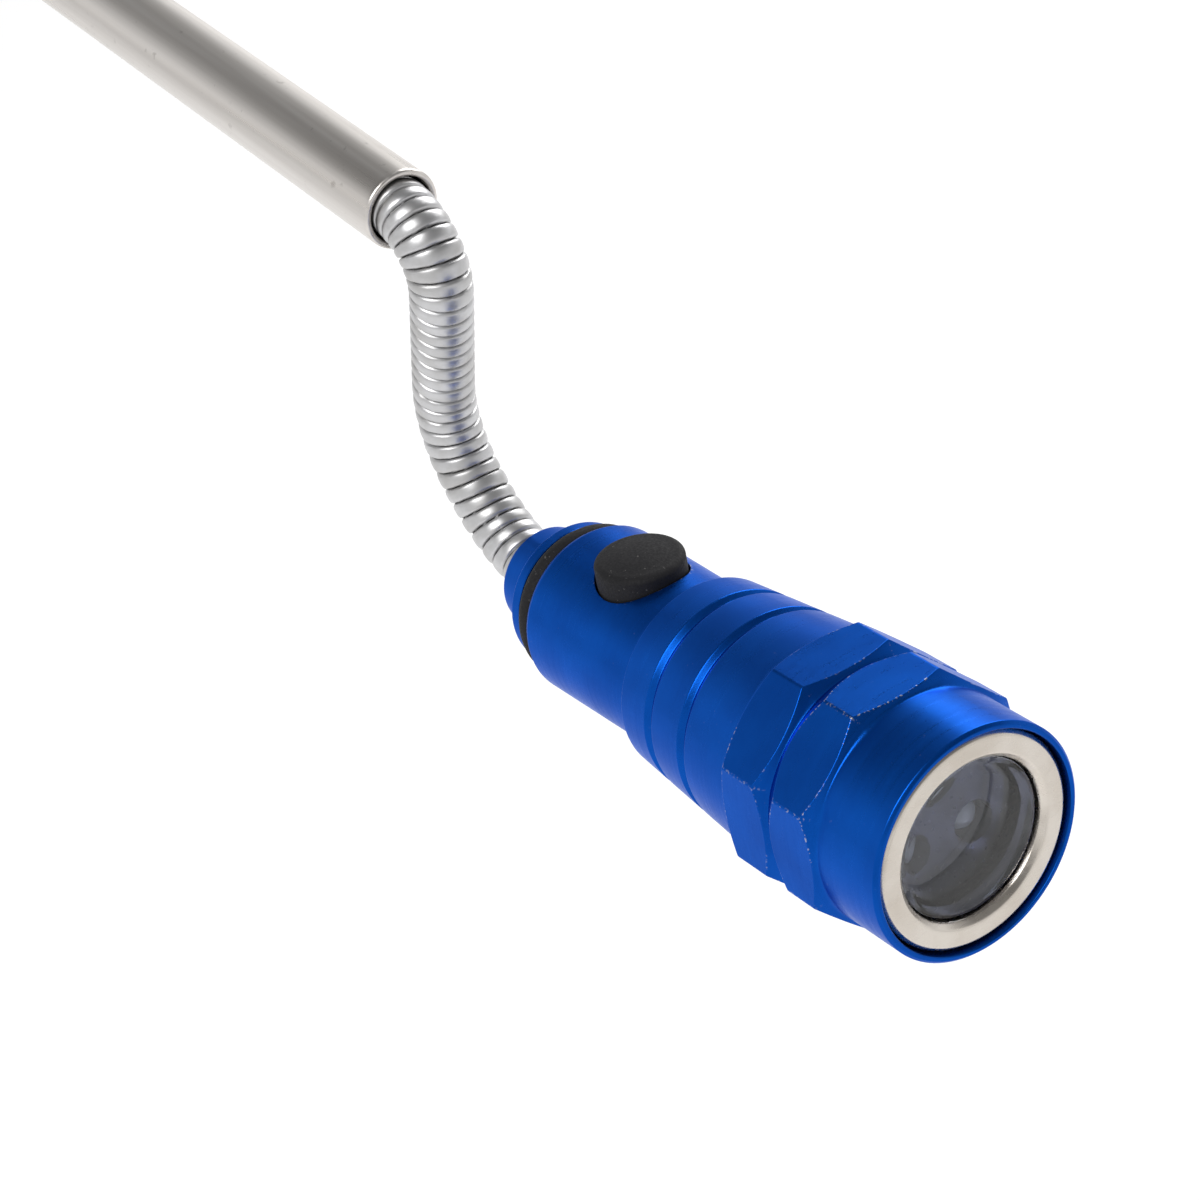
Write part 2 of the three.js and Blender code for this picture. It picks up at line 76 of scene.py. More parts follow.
def head_frame():
    unscrew = JOINTS["barrel_unscrew"]
    press = Vector(JOINTS["button_press"]["axis"])
    return axes_frame(Vector(unscrew["pos_m"]), Vector(unscrew["axis"]), -press)


HEAD = head_frame()
SHAFT = Matrix.Identity(4)


# ---------------------------------------------------------------- mesh helpers

# Rounding of the edges that show bare metal where the finish has chipped.
CHIPPED = 0.05
# The largest share of an edge that the rounding at one of its ends may take.
LARGEST_CUT = 0.2
# How far from a corner the wear fades out, as a multiple of the rounding.
FADE_REACH = 2.2
# Joined points are closer than this, and faces that meet at more than this angle keep a sharp edge.
SAME_POINT = 1e-7
SHARP_ANGLE = math.radians(50)


def softened(outline):
    """Rounds the corners of an outline of (x, radius, rounding) points.

    Returns (x, radius, wear) points. Each corner with a rounding becomes five points, so outlines with
    the same corners always have the same number of points. Wear is 1 on an edge sharp enough to chip.
    """
    points = []
    last = len(outline) - 1
    for i, (x, radius, rounding) in enumerate(outline):
        if rounding == 0 or i in (0, last):
            points.append((x, radius, 0.0))
            continue
        here = Vector((x, radius))
        to_last = Vector(outline[i - 1][:2]) - here
        to_next = Vector(outline[i + 1][:2]) - here
        cut = min(rounding, LARGEST_CUT * to_last.length, LARGEST_CUT * to_next.length)
        before = to_last.normalized() * cut
        after = to_next.normalized() * cut
        middle = (before + after) * 0.25
        wear_and_shade_level = 1.0 if rounding == CHIPPED else 0.0
        offsets = (before * FADE_REACH, before, middle, after, after * FADE_REACH)
        for offset, wear_and_shade in zip(offsets, (0, wear_and_shade_level, wear_and_shade_level, wear_and_shade_level, 0)):
            spot = here + offset
            points.append((spot.x, spot.y, wear_and_shade))
    return points


def finish_mesh(name, vertices, faces, wear_and_shade, matrix, material):
    """Makes the object from points in millimetres, in the frame given by the matrix."""
    mesh = bpy.data.meshes.new(name)
    mesh.from_pydata([tuple(c * MM for c in v) for v in vertices], [], faces)
    # The stored value is chip wear on edges, and painted shade in the neck's groove and bore.
    layer = mesh.attributes.new("wear_and_shade", "FLOAT", "POINT")
    layer.data.foreach_set("value", wear_and_shade)
    piece = bpy.data.objects.new(name, mesh)
    bpy.context.scene.collection.objects.link(piece)
    piece.matrix_world = matrix
    clean(mesh)
    mesh.materials.append(material)
    return piece


def clean(mesh):
    """Joins doubled points, turns the faces outwards and shades them smooth."""
    work = bmesh.new()
    work.from_mesh(mesh)
    bmesh.ops.remove_doubles(work, verts=work.verts, dist=SAME_POINT)
    bmesh.ops.recalc_face_normals(work, faces=work.faces)
    for face in work.faces:
        face.smooth = True
    work.to_mesh(mesh)
    work.free()
    mesh.set_sharp_from_angle(angle=SHARP_ANGLE)


def weighted(piece):
    """Lets the large faces set the shading, so rounded edges stay narrow."""
    modifier = piece.modifiers.new("weighted", "WEIGHTED_NORMAL")
    modifier.keep_sharp = True
    return piece


def ring_faces(columns, rows, closed_profile):
    """Faces of a grid whose columns close into a ring."""
    faces = []
    row_steps = rows if closed_profile else rows - 1
    for column in range(columns):
        beside = (column + 1) % columns
        for row in range(row_steps):
            below = (row + 1) % rows
            corners = ((column, row), (column, below), (beside, below), (beside, row))
            faces.append(tuple(c * rows + r for c, r in corners))
    return faces


def turned(name, outline, matrix, material, sides=128, closed=False, soft=True):
    """A piece turned about the frame's X axis. A closed outline joins its last point to its first."""
    profile = outline
    if closed:
        profile = [*outline, outline[0]]
    points = softened(profile) if soft else [(x, r, 0.0) for x, r, *_ in profile]
    if closed:
        points = points[:-1]
    vertices = []
    wear_and_shade = []
    for k in range(sides):
        angle = 2 * math.pi * k / sides
        for x, radius, wear_and_shade_level in points:
            vertices.append((x, radius * math.sin(angle), radius * math.cos(angle)))
            wear_and_shade.append(wear_and_shade_level)
    faces = ring_faces(sides, len(points), closed)
    return weighted(finish_mesh(name, vertices, faces, wear_and_shade, matrix, material))


# ---------------------------------------------------------------- materials

class Recipe:
    """Short-hand for one material's node tree, with object coordinates at hand."""

    def __init__(self, name):
        self.material = bpy.data.materials.new(name)
        self.material.use_nodes = True
        self.nodes = self.material.node_tree.nodes
        self.links = self.material.node_tree.links
        self.shader = self.nodes["Principled BSDF"]
        self.place = self.nodes.new("ShaderNodeTexCoord").outputs["Object"]

    def link(self, source, target):
        self.links.new(source, target)

    def value(self, source, node, key):
        """Sets an input to a number, or links it to a socket."""
        if isinstance(source, (int, float)):
            node.inputs[key].default_value = source
        else:
            self.link(source, node.inputs[key])

    def math(self, operation, a, b=0.0):
        node = self.nodes.new("ShaderNodeMath")
        node.operation = operation
        self.value(a, node, 0)
        self.value(b, node, 1)
        return node.outputs[0]

    def noise(self, scale, detail=4.0, place=None, stretch=(1, 1, 1)):
        mapping = self.nodes.new("ShaderNodeMapping")
        mapping.inputs["Scale"].default_value = stretch
        self.link(place or self.place, mapping.inputs["Vector"])
        node = self.nodes.new("ShaderNodeTexNoise")
        node.inputs["Scale"].default_value = scale
        node.inputs["Detail"].default_value = detail
        self.link(mapping.outputs[0], node.inputs["Vector"])
        return node.outputs["Fac"]

    def turning(self):
        """Coordinates that are the same all round the X axis, for lathe marks."""
        split = self.nodes.new("ShaderNodeSeparateXYZ")
        self.link(self.place, split.inputs[0])
        across = self.math("POWER", split.outputs[1], 2)
        upward = self.math("POWER", split.outputs[2], 2)
        squares = self.math("ADD", across, upward)
        join = self.nodes.new("ShaderNodeCombineXYZ")
        self.link(split.outputs[0], join.inputs[0])
        self.link(self.math("SQRT", squares), join.inputs[1])
        return join.outputs[0]

    def spread(self, source, low, high, out_low=0.0, out_high=1.0):
        """Stretches the part of a value from low to high over the output's span, and clamps the rest."""
        node = self.nodes.new("ShaderNodeMapRange")
        self.link(source, node.inputs["Value"])
        ends = {"From Min": low, "From Max": high, "To Min": out_low, "To Max": out_high}
        for key, number in ends.items():
            node.inputs[key].default_value = number
        return node.outputs[0]

    def blend(self, share, first, second):
        """A colour that goes from the first to the second as the share goes from 0 to 1."""
        node = self.nodes.new("ShaderNodeMix")
        node.data_type = "RGBA"
        self.value(share, node, 0)
        first_colour, second_colour = 6, 7
        for source, key in ((first, first_colour), (second, second_colour)):
            if isinstance(source, tuple):
                node.inputs[key].default_value = (*source, 1)
            else:
                self.link(source, node.inputs[key])
        return node.outputs[2]

    def wear_and_shade_level(self):
        """The wear and painted shade stored on the mesh: wear is 1 on an edge that chips, and painted shade rises
        down in the neck's groove and is full in its bore.
        """
        node = self.nodes.new("ShaderNodeAttribute")
        node.attribute_name = "wear_and_shade"
        return node.outputs["Fac"]

    def bump(self, height, distance):
        """A normal for a surface that rises by the distance, in metres, as the height goes from 0 to 1."""
        node = self.nodes.new("ShaderNodeBump")
        node.inputs["Distance"].default_value = distance
        node.inputs["Strength"].default_value = 1.0
        self.link(height, node.inputs["Height"])
        return node.outputs[0]

    def set(self, **inputs):
        """Fills the shader's inputs and returns the finished material."""
        names = {"base": "Base Color", "ior": "IOR", "shine": "Specular IOR Level"}
        for key, source in inputs.items():
            socket = self.shader.inputs[names.get(key, key.replace("_", " ").title())]
            if isinstance(source, tuple):
                socket.default_value = (*source, 1)
            elif isinstance(source, (int, float)):
                socket.default_value = source
            else:
                self.link(source, socket)
        return self.material


def anodised_blue():
    """Satin blue anodising: lathe marks, a fine grain, and bare bright chips along the edges."""
    recipe = Recipe("anodised_blue")
    marks = recipe.noise(2500, 2, recipe.turning())
    grain = recipe.noise(5200, 3)
    cloud = recipe.noise(160, 3)
    tone = recipe.blend(recipe.spread(cloud, 0.35, 0.65), (0.0015, 0.062, 0.36), (0.002, 0.078, 0.43))
    speck = recipe.spread(recipe.noise(1900, 6), 0.70, 0.76)
    chip_spots = recipe.spread(recipe.noise(3600, 4), 0.54, 0.62)
    chips = recipe.math("MULTIPLY", chip_spots, recipe.spread(cloud, 0.45, 0.65))
    edge = recipe.math("MULTIPLY", recipe.wear_and_shade_level(), chips)
    chipped = recipe.math("MAXIMUM", recipe.math("MULTIPLY", speck, 0.06), edge)
    turned_rough = recipe.spread(marks, 0.3, 0.7, 0.27, 0.37)
    rough = recipe.math("ADD", turned_rough, recipe.spread(grain, 0.3, 0.7, -0.03, 0.03))
    height = recipe.math("ADD", recipe.math("MULTIPLY", marks, 0.6), recipe.math("MULTIPLY", grain, 0.5))
    return recipe.set(
        base=recipe.blend(chipped, tone, (0.55, 0.56, 0.60)),
        metallic=0.92,
        roughness=rough,
        specular_tint=(0.55, 0.65, 1.0),
        normal=recipe.bump(height, 3.5e-6),
    )


def steel_tube():
    """Drawn stainless steel with long brushing marks and a few spots of dirt."""
    recipe = Recipe("drawn_steel")
    brush = recipe.noise(900, 5, stretch=(0.02, 1, 1))
    cross = recipe.noise(500, 3, stretch=(1, 0.08, 0.08))
    dirt = recipe.spread(recipe.noise(700, 8), 0.66, 0.74)
    tone = recipe.blend(recipe.spread(brush, 0.3, 0.7), (0.60, 0.565, 0.53), (0.72, 0.69, 0.66))
    height = recipe.math("ADD", brush, recipe.math("MULTIPLY", cross, 0.3))
    return recipe.set(
        base=recipe.blend(recipe.math("MULTIPLY", dirt, 0.35), tone, (0.16, 0.14, 0.12)),
        metallic=1.0,
        roughness=recipe.spread(brush, 0.25, 0.75, 0.24, 0.36),
        anisotropic=0.35,
        normal=recipe.bump(height, 6e-6),
    )


def chrome():
    """Satin chrome on wound strip: nearly clean, a little milky, with painted shade that darkens it down in the
    groove and in the bore.
    """
    recipe = Recipe("chromed_strip")
    haze = recipe.noise(420, 5)
    scratch = recipe.noise(2600, 3, stretch=(1, 0.25, 1))
    crown_tone = recipe.blend(recipe.spread(haze, 0.35, 0.7), (0.60, 0.60, 0.61), (0.49, 0.485, 0.48))
    # Painted shade: the colour goes near black down in the groove and in the bore.
    groove = recipe.spread(recipe.wear_and_shade_level(), 0.25, 1.0)
    crown_rough = recipe.spread(haze, 0.3, 0.7, 0.36, 0.44)
    return recipe.set(
        base=recipe.blend(groove, crown_tone, (0.03, 0.028, 0.026)),
        metallic=1.0,
        roughness=recipe.math("ADD", crown_rough, recipe.math("MULTIPLY", groove, 0.3)),
        normal=recipe.bump(scratch, 1.5e-6),
    )


def nickel():
    """Warm satin nickel plating with fine scuffs."""
    recipe = Recipe("nickel_plating")
    scuff = recipe.noise(1500, 6, stretch=(1, 0.3, 1))
    cloud = recipe.noise(220, 4)
    tone = recipe.blend(recipe.spread(cloud, 0.35, 0.65), (0.60, 0.545, 0.48), (0.69, 0.64, 0.58))
    return recipe.set(
        base=tone,
        metallic=1.0,
        roughness=recipe.spread(scuff, 0.3, 0.7, 0.2, 0.34),
        normal=recipe.bump(scuff, 3e-6),
    )


def rubber():
    """Matt black moulded rubber with a fine grain and pale dust specks."""
    recipe = Recipe("black_rubber")
    grain = recipe.noise(4200, 5)
    cloud = recipe.noise(350, 3)
    dust = recipe.spread(recipe.noise(2300, 7), 0.67, 0.72)
    tone = recipe.blend(recipe.spread(cloud, 0.3, 0.7), (0.007, 0.007, 0.0085), (0.011, 0.0105, 0.0125))
    return recipe.set(
        base=recipe.blend(recipe.math("MULTIPLY", dust, 0.25), tone, (0.30, 0.29, 0.28)),
        roughness=recipe.spread(grain, 0.3, 0.7, 0.62, 0.82),
        shine=0.3,
        normal=recipe.bump(grain, 2.2e-5),
    )


def plastic(name, dark, light, roughness):
    """Moulded plastic with a spark-eroded grain."""
    recipe = Recipe(name)
    grain = recipe.noise(3200, 4)
    tone = recipe.blend(recipe.spread(recipe.noise(260, 3), 0.35, 0.65), dark, light)
    return recipe.set(
        base=tone,
        roughness=recipe.spread(grain, 0.3, 0.7, roughness - 0.08, roughness + 0.08),
        normal=recipe.bump(grain, 8e-6),
    )


def bare_metal(name, dark, light, roughness):
    """Plain drawn or pressed metal with tarnish."""
    recipe = Recipe(name)
    tarnish = recipe.noise(380, 6)
    scratch = recipe.noise(2100, 3, stretch=(0.3, 1, 1))
    return recipe.set(
        base=recipe.blend(recipe.spread(tarnish, 0.35, 0.7), light, dark),
        metallic=1.0,
        roughness=recipe.spread(scratch, 0.3, 0.7, roughness - 0.07, roughness + 0.1),
        normal=recipe.bump(scratch, 3e-6),
    )


def circuit_board():
    """Green lacquer over copper tracks."""
    recipe = Recipe("circuit_board")
    cells = recipe.nodes.new("ShaderNodeTexVoronoi")
    cells.distance = "MANHATTAN"
    cells.inputs["Scale"].default_value = 420
    recipe.link(recipe.place, cells.inputs["Vector"])
    tracks = recipe.spread(cells.outputs["Distance"], 0.42, 0.48)
    return recipe.set(
        base=recipe.blend(tracks, (0.01, 0.10, 0.035), (0.03, 0.22, 0.09)),
        roughness=recipe.spread(recipe.noise(900, 3), 0.3, 0.7, 0.25, 0.4),
        normal=recipe.bump(tracks, 1.5e-5),
    )


def clear_plastic(name, tint, roughness, shine, clarity):
    """Clear moulded plastic with faint flow lines and scratches. A clarity below 1 makes it milky."""
    recipe = Recipe(name)
    flow = recipe.noise(240, 3)
    scratch = recipe.noise(1400, 5, stretch=(1, 0.15, 1))
    height = recipe.math("ADD", flow, recipe.math("MULTIPLY", recipe.spread(scratch, 0.6, 0.7), 0.15))
    return recipe.set(
        base=recipe.blend(recipe.spread(flow, 0.3, 0.7), tint, tuple(0.94 * c for c in tint)),
        transmission_weight=clarity,
        ior=1.49,
        shine=shine,
        roughness=recipe.spread(scratch, 0.55, 0.75, roughness, roughness + 0.12),
        normal=recipe.bump(height, 1.2e-5),
    )


BLUE = anodised_blue()
STEEL = steel_tube()
CHROME = chrome()
NICKEL = nickel()
RUBBER = rubber()
BRASS = bare_metal("plain_brass", (0.26, 0.16, 0.06), (0.55, 0.40, 0.17), 0.38)
SPRING_STEEL = bare_metal("spring_wire", (0.30, 0.29, 0.28), (0.52, 0.51, 0.50), 0.33)
BLACK_PLASTIC = plastic("black_plastic", (0.012, 0.012, 0.014), (0.022, 0.022, 0.025), 0.5)
WHITE_PLASTIC = plastic("white_plastic", (0.60, 0.60, 0.58), (0.74, 0.74, 0.72), 0.45)
# The reflector's near-black blue plating is painted shade for the dark inside of the head seen through the lens.
REFLECTOR_PAINTED_SHADE = bare_metal("reflector_painted_shade", (0.01, 0.012, 0.03), (0.04, 0.045, 0.08), 0.2)
BOARD = circuit_board()
LENS = clear_plastic("clear_lens", (0.86, 0.89, 0.97), roughness=0.01, shine=0.2, clarity=1.0)
LED_RESIN = clear_plastic("led_resin", (0.70, 0.76, 0.90), roughness=0.12, shine=0.8, clarity=0.55)

CAD_FINISHES = {
    "brass": BRASS,
    "spring_steel": SPRING_STEEL,
    "black_plastic": BLACK_PLASTIC,
    "white_plastic": WHITE_PLASTIC,
    "board": BOARD,
    "nickel": NICKEL,
    "chrome": CHROME,
    "steel_tube": STEEL,
    "blue_anodised": BLUE,
    "rubber": RUBBER,
    "clear": LENS,
}


def dress_cad_nodes():
    """Gives each CAD node that stays on show the finish of its material slot."""
    for part in frame["record"]["subparts"]:
        mesh = frame["nodes"][part["node"]].data
        mesh.materials.clear()
        mesh.materials.append(CAD_FINISHES[part["material_slot"]])


# ---------------------------------------------------------------- telescopic shaft

LIP_CLEARANCE = 0.06
TUBE_STEP = 0.5
TUBE_WALL = 0.3
INNER_TUBE_RADIUS = 3.87
SMALLEST_LIP = 3.2
LIP_LENGTH = 0.9


def span(node):
    """Rear and front ends of a shaft node, in millimetres."""
    low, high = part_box(node)
    return low.x / MM, high.x / MM


def shaft_tube(number, body):
    """A drawn tube whose mouth is rolled in over the next one."""
    rear, front = span(f"tube_{number}")
    radius = INNER_TUBE_RADIUS + (number - 1) * TUBE_STEP
    bore = radius - TUBE_WALL
    lip = SMALLEST_LIP if number == 1 else radius - TUBE_STEP + LIP_CLEARANCE
    roll = (radius - lip) / 2
    outline = [(rear, bore, 0), (rear, radius, 0.06), (front - 2 * roll, radius, 0)]
    roll_middle = (radius + lip) / 2
    roll_steps = 8
    for step in range(roll_steps + 1):
        turn = math.pi * step / roll_steps
        outline.append((front - roll + roll * math.sin(turn), roll_middle + roll * math.cos(turn), 0))
    outline.append((front - LIP_LENGTH, lip, 0))
    outline.append((front - LIP_LENGTH - (bore - lip), bore, 0))
    tube = turned(f"tube_{number}_drawn", outline, SHAFT, STEEL, 96, closed=True)
    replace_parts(tube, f"tube_{number}")
    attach(tube, body)


def tail():
    """Plug with a flange round the small tail magnet."""
    flange_radius, plug_radius, pocket_radius = 5.37, 5.0, 3.7
    flange_front, plug_front, pocket_floor = 1.2, 6.2, 2.3
    plug = turned(
        "tail_plug_turned",
        [
            (pocket_floor, 0, 0),
            (pocket_floor, pocket_radius, 0.1),
            (0, pocket_radius, 0.12),
            (0, flange_radius, 0.25),
            (flange_front, flange_radius, 0.1),
            (flange_front, plug_radius, 0.1),
            (plug_front, plug_radius, 0.2),
            (plug_front, 0, 0),
        ],
        SHAFT, BLUE, 96,
    )
    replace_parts(plug, "tail_plug")
    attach(plug, "handle")
    magnet = turned(
        "tail_magnet_plated",
        [(2.0, 0, 0), (2.0, 3.5, 0.15), (0, 3.5, 0.3), (0, 0, 0)],
        SHAFT, NICKEL, 96,
    )
    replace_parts(magnet, "tail_magnet")
    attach(magnet, "handle")


# ---------------------------------------------------------------- gooseneck

NECK_RADIUS = 2.96
NECK_BORE = 1.7
STRIP_PITCH = 1.65
TIGHT_PITCH = 1.0
TIGHT_LENGTH = 9.0
CROWN_SAG = 0.2
GROOVE_DEPTH = 0.34
GROOVE_SHARE = 0.18
NECK_SIDES = 48
ROWS_PER_PITCH = 12
# The first bend starts this far inside the mouth, and the last one ends this far past its hinge.
ROOT_REACH = 1.0
TIP_REACH = 1.6
TIP_LENGTH = 3.4
# Every rest bend of the neck lies in the XZ plane, so this way is square to all of it.
SIDEWAYS = Vector((0, 1, 0))
STRAIGHT = 1e-6


def turns_before(along):
    """Turns of strip between the mouth and a distance along the neck, wound tighter towards the mouth."""
    if along < 0:
        return along / TIGHT_PITCH
    extra = (1 / TIGHT_PITCH - 1 / STRIP_PITCH) * TIGHT_LENGTH
    return along / STRIP_PITCH + extra * (1 - math.exp(-along / TIGHT_LENGTH))


def strip_surface(along, angle):
    """Radius and groove shade of the wound strip at a distance along the neck and an angle round it."""
    turn = turns_before(along) - angle / (2 * math.pi)
    across = abs(2 * (turn - math.floor(turn)) - 1)
    groove = max(0.0, (across - (1 - GROOVE_SHARE)) / GROOVE_SHARE)
    groove = groove * groove * (3 - 2 * groove)
    radius = NECK_RADIUS - CROWN_SAG * across ** 3 - GROOVE_DEPTH * groove
    return radius, groove


def neck_mesh(name, start, end, place):
    """A hollow length of wound strip. place(along, y, z) says where a straight point goes."""
    count = max(4, round((turns_before(end) - turns_before(start)) * ROWS_PER_PITCH))
    rows = [start + (end - start) * i / count for i in range(count + 1)]
    # The bore needs only every third row, from the front back to the rear.
    inner_rows = rows[::-3]
    if inner_rows[-1] != rows[0]:
        inner_rows.append(rows[0])
    vertices = []
    wear_and_shade = []
    for k in range(NECK_SIDES):
        angle = 2 * math.pi * k / NECK_SIDES
        for along in rows:
            radius, groove = strip_surface(along, angle)
            vertices.append(place(along, radius * math.sin(angle), radius * math.cos(angle)))
            # The groove's depth is also stored as painted shade, which darkens the chrome down in the groove.
            wear_and_shade.append(groove)
        for along in inner_rows:
            vertices.append(place(along, NECK_BORE * math.sin(angle), NECK_BORE * math.cos(angle)))
            # The bore is stored at full painted shade, which paints it near black.
            wear_and_shade.append(1.0)
    faces = ring_faces(NECK_SIDES, len(rows) + len(inner_rows), True)
    return finish_mesh(name, vertices, faces, wear_and_shade, Matrix.Identity(4), CHROME)


def neck_joints():
    bends = [joint for joint in frame["joints"] if joint["name"].startswith("bend_")]
    return sorted(bends, key=lambda joint: int(joint["name"].split("_")[-1]))


def neck_line(bends):
    """The hinge points, and the rest directions of the root, of each link and of the cap."""
    points = [Vector(bend["pos_m"]) for bend in bends]
    directions = [Vector((1, 0, 0))]
    for here, ahead in zip(points, points[1:]):
        directions.append((ahead - here).normalized())
    directions.append(Vector(JOINTS["barrel_unscrew"]["axis"]))
    return points, directions


def arc_point(share, rear_reach, front_reach, rear_way, front_way):
    """A point of the smooth spine from one link's middle to the next's, measured from the hinge."""
    start = -rear_way * rear_reach
    end = front_way * front_reach
    return start * (1 - share) ** 2 + end * share ** 2


def bent(hinge, base, ways, reaches):
    """A rule that lays a straight length of neck, whose hinge is at the base, along the arc over it."""
    rear_way, front_way = ways
    rear_reach, front_reach = reaches
    total = rear_way.angle(front_way)
    axis = rear_way.cross(front_way).normalized() if total > STRAIGHT else SIDEWAYS
    end_way = Matrix.Rotation(total, 3, axis) @ rear_way

    def place(along, y, z):
        share = (along - base + rear_reach) / (rear_reach + front_reach)
        way = Matrix.Rotation(total * share, 3, axis) @ rear_way
        spine = arc_point(share, rear_reach, front_reach, rear_way, end_way)
        return tuple(hinge + spine + SIDEWAYS * y + way.cross(SIDEWAYS) * z)

    return place


def straight(hinge, base, way):
    """A rule that lays a straight length of neck along one direction from a hinge."""
    up = way.cross(SIDEWAYS)

    def place(along, y, z):
        return tuple(hinge + way * (along - base) + SIDEWAYS * y + up * z)

    return place


def neck_bend(number, bend, points, ways, base, reaches):
    """The length over one hinge. Its ends meet the lengths beside it."""
    hinge = points[number]
    piece = neck_mesh(
        f"neck_bend_{number + 1:02d}", base - reaches[0], base + reaches[1],
        bent(hinge / MM, base, ways, reaches),
    )
    if number > 0:
        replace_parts(piece, f"gooseneck_link_{number}")
    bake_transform(piece)


def gooseneck():
    """A rigid length in the tube, one bent length over each hinge, and a rigid length in the cap."""
    bends = neck_joints()
    points, directions = neck_line(bends)
    steps = [(b - a).length / MM for a, b in zip(points, points[1:])]
    mouth = points[0] / MM
    root_rear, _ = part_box("gooseneck_root")
    root = neck_mesh(
        "neck_root_strip", root_rear.x / MM - mouth.x, -ROOT_REACH, straight(mouth, 0.0, directions[0]),
    )
    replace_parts(root, "gooseneck_root")
    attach(root, "neck_root")
    halves = [step / 2 for step in steps]
    rear_reaches = [ROOT_REACH, *halves]
    front_reaches = [*halves, TIP_REACH]
    base = 0.0
    for i, bend in enumerate(bends):
        ways = (directions[i], directions[i + 1])
        neck_bend(i, bend, points, ways, base, (rear_reaches[i], front_reaches[i]))
        if i < len(steps):
            base += steps[i]
    tip = neck_mesh(
        "neck_tip_strip", base + TIP_REACH, base + TIP_REACH + TIP_LENGTH,
        straight(points[-1] / MM, base, directions[-1]),
    )
    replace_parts(tip, "gooseneck_end")
    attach(tip, "cap")


# ---------------------------------------------------------------- head: barrel

HALF_FLATS = 10.9
FLATS = 8
CORNER_RADIUS = HALF_FLATS / math.cos(math.pi / FLATS)
CORNER_ROUNDING = 0.03
HOLE_X = 17.8
HOLE_RADIUS = 4.3
PATCH_REAR = 12.4
PATCH_FRONT = 23.2
PATCH_ANGLE = math.radians(42)
PATCH_STEPS = 10
GRIP_REAR = (9.32, 8.2)
GRIP_FRONT = (24.7, 8.0)
BORE = 6.85
GROOVE_WIDTH = 1.2
GROOVE_FLOOR = 0.5
BARREL_GROOVE_DEPTH = 0.45
# The part of the barrel where the octagon's corners are sharp enough to chip, and the width and wear there.
BANDS_REAR = 42.6
BANDS_FRONT = 53.7
BANDS_FLOOR = 10.8
CORNER_REACH = math.radians(0.4)
CORNER_WEAR = 0.8


def meet(a, b, radius):
    """The point of the sloping line a-b that is at the radius given."""
    share = (radius - a[1]) / (b[1] - a[1])
    return a[0] + (b[0] - a[0]) * share, radius


def grip_radius(x):
    share = (x - GRIP_REAR[0]) / (GRIP_FRONT[0] - GRIP_REAR[0])
    return GRIP_REAR[1] + (GRIP_FRONT[1] - GRIP_REAR[1]) * share


def grip_rows():
    return [PATCH_REAR + (PATCH_FRONT - PATCH_REAR) * i / PATCH_STEPS for i in range(PATCH_STEPS + 1)]


def barrel_outline(flat_radius):
    """Closed outline of the barrel where the flats stand at the radius given, rear face first.

    An edge chips, a fine corner is just broken, and a hollow one is a wide concave fillet.
    """
    edge = CHIPPED
    fine = 0.06
    hollow = 0.5
    taper_rear, taper_front = (25.5, 9.15), (42.25, 10.62)

    def taper(x, depth=0.0):
        share = (x - taper_rear[0]) / (taper_front[0] - taper_rear[0])
        return x, taper_rear[1] + (taper_front[1] - taper_rear[1]) * share - depth

    outline = [(8.87, 7.95, fine), (*GRIP_REAR, 0.1)]
    outline += [(x, grip_radius(x), 0) for x in grip_rows()]
    outline += [(*GRIP_FRONT, 0.3), (*taper_rear, fine)]
    for groove in (29.4, 34.75):
        outline += [
            (*taper(groove), fine),
            (*taper(groove + GROOVE_FLOOR, BARREL_GROOVE_DEPTH), fine),
            (*taper(groove + GROOVE_WIDTH), fine),
        ]
    floor = (48.08, 10.47)
    nose = (54.3, 10.5)
    outline += [
        (*taper_front, hollow),
        (*meet(taper_front, (43.18, CORNER_RADIUS), flat_radius), edge),
        (*meet((47.04, CORNER_RADIUS), floor, flat_radius), edge),
        (*floor, hollow),
        (*meet(floor, (49.88, CORNER_RADIUS), flat_radius), edge),
        (*meet((53.32, CORNER_RADIUS), nose, flat_radius), edge),
        (*nose, hollow),
        (61.22, 10.5, fine),
        (61.5, 10.22, fine),
        (61.5, 9.95, fine),
        (61.4, 9.85, 0),
        (45.6, 9.85, 0),
        (45.6, BORE, 0),
        (24.0, BORE, 0),
    ]
    outline += [(x, BORE, 0) for x in reversed(grip_rows())]
    outline += [(9.3, BORE, 0), (8.87, 7.2, fine)]
    return outline


def barrel_columns():
    """Angles from straight up, crowded beside the corners of the flats."""
    half = 180 / FLATS
    beside = [-half, -half + 0.3, -half + 0.9]
    middle = [-19.2 + 3.2 * i for i in range(13)]
    angles = [*beside, *middle, half - 0.9, half - 0.3]
    return [math.radians(flat * 2 * half + angle) for flat in range(FLATS) for angle in angles]


def barrel_profile(flat_radius):
    """The softened outline, without the doubled point that closes it."""
    outline = barrel_outline(flat_radius)
    return softened([*outline, outline[0]])[1:]


def off_flat(angle):
    """Angle from the middle of the nearest flat."""
    step = 2 * math.pi / FLATS
    return (angle + step / 2) % step - step / 2


